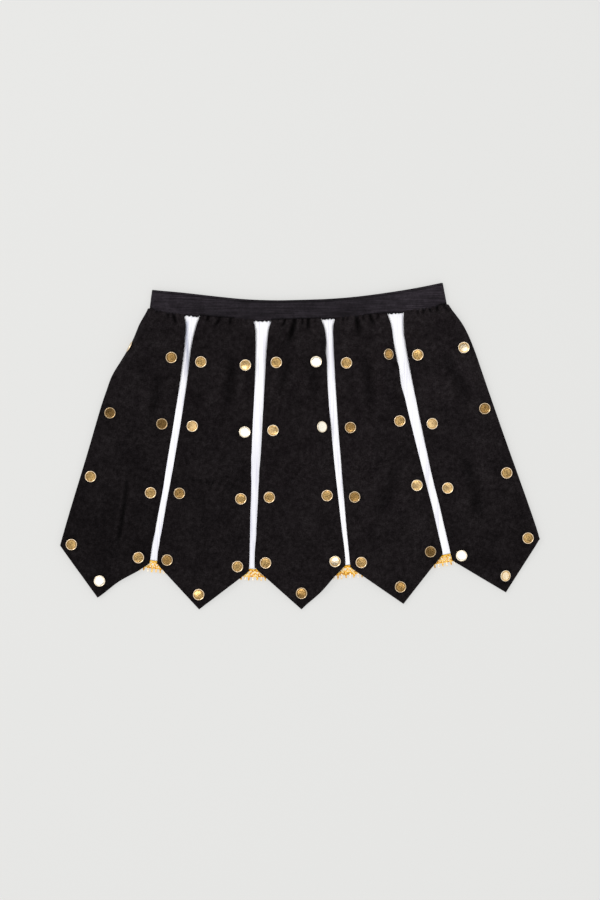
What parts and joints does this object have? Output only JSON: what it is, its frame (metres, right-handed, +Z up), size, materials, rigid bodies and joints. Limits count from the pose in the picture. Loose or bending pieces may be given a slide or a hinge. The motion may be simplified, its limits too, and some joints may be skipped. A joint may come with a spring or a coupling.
{
  "type": "studded strap skirt with underskirt",
  "caption": "Costume skirt laid flat: black elastic waistband, pointed suede-look panels with round gold studs, white underskirt with a golden looped hem braid.",
  "frame": {"origin": "centre of the laid-out skirt's outline, on the flat underside that rests", "axes": "+X to the right across the front, +Y from the hem towards the waistband, +Z up out of the front"},
  "size_m": [0.6, 0.4084, 0.0171],
  "materials": {
    "suede": "matt napped black suede-look cloth",
    "elastic": "fine-ribbed black elastic with a soft sheen",
    "lining": "smooth white polyester cloth",
    "braid": "golden-yellow looped yarn braid",
    "stud": "lightly worn polished gold plate"
  },
  "bodies": {
    "root": {"waistband": "elastic", "underskirt_front": "lining", "underskirt_back": "lining", "hem_braid_front": "braid", "hem_braid_back": "braid", "front_panel_1": "suede", "front_panel_2": "suede", "front_panel_3": "suede", "front_panel_4": "suede", "front_panel_5": "suede", "back_panel_1": "suede", "back_panel_2": "suede", "back_panel_3": "suede", "back_panel_4": "suede", "back_panel_5": "suede", "stud_1_left_1": "stud", "stud_1_right_1": "stud", "stud_1_left_2": "stud", "stud_1_right_2": "stud", "stud_1_left_3": "stud", "stud_1_right_3": "stud", "stud_1_left_4": "stud", "stud_1_right_4": "stud", "stud_1_point": "stud", "stud_2_left_1": "stud", "stud_2_right_1": "stud", "stud_2_left_2": "stud", "stud_2_right_2": "stud", "stud_2_left_3": "stud", "stud_2_right_3": "stud", "stud_2_left_4": "stud", "stud_2_right_4": "stud", "stud_2_point": "stud", "stud_3_left_1": "stud", "stud_3_right_1": "stud", "stud_3_left_2": "stud", "stud_3_right_2": "stud", "stud_3_left_3": "stud", "stud_3_right_3": "stud", "stud_3_left_4": "stud", "stud_3_right_4": "stud", "stud_3_point": "stud", "stud_4_left_1": "stud", "stud_4_right_1": "stud", "stud_4_left_2": "stud", "stud_4_right_2": "stud", "stud_4_left_3": "stud", "stud_4_right_3": "stud", "stud_4_left_4": "stud", "stud_4_right_4": "stud", "stud_4_point": "stud", "stud_5_left_1": "stud", "stud_5_right_1": "stud", "stud_5_left_2": "stud", "stud_5_right_2": "stud", "stud_5_left_3": "stud", "stud_5_right_3": "stud", "stud_5_left_4": "stud", "stud_5_right_4": "stud", "stud_5_point": "stud"}
  },
  "joints": []
}
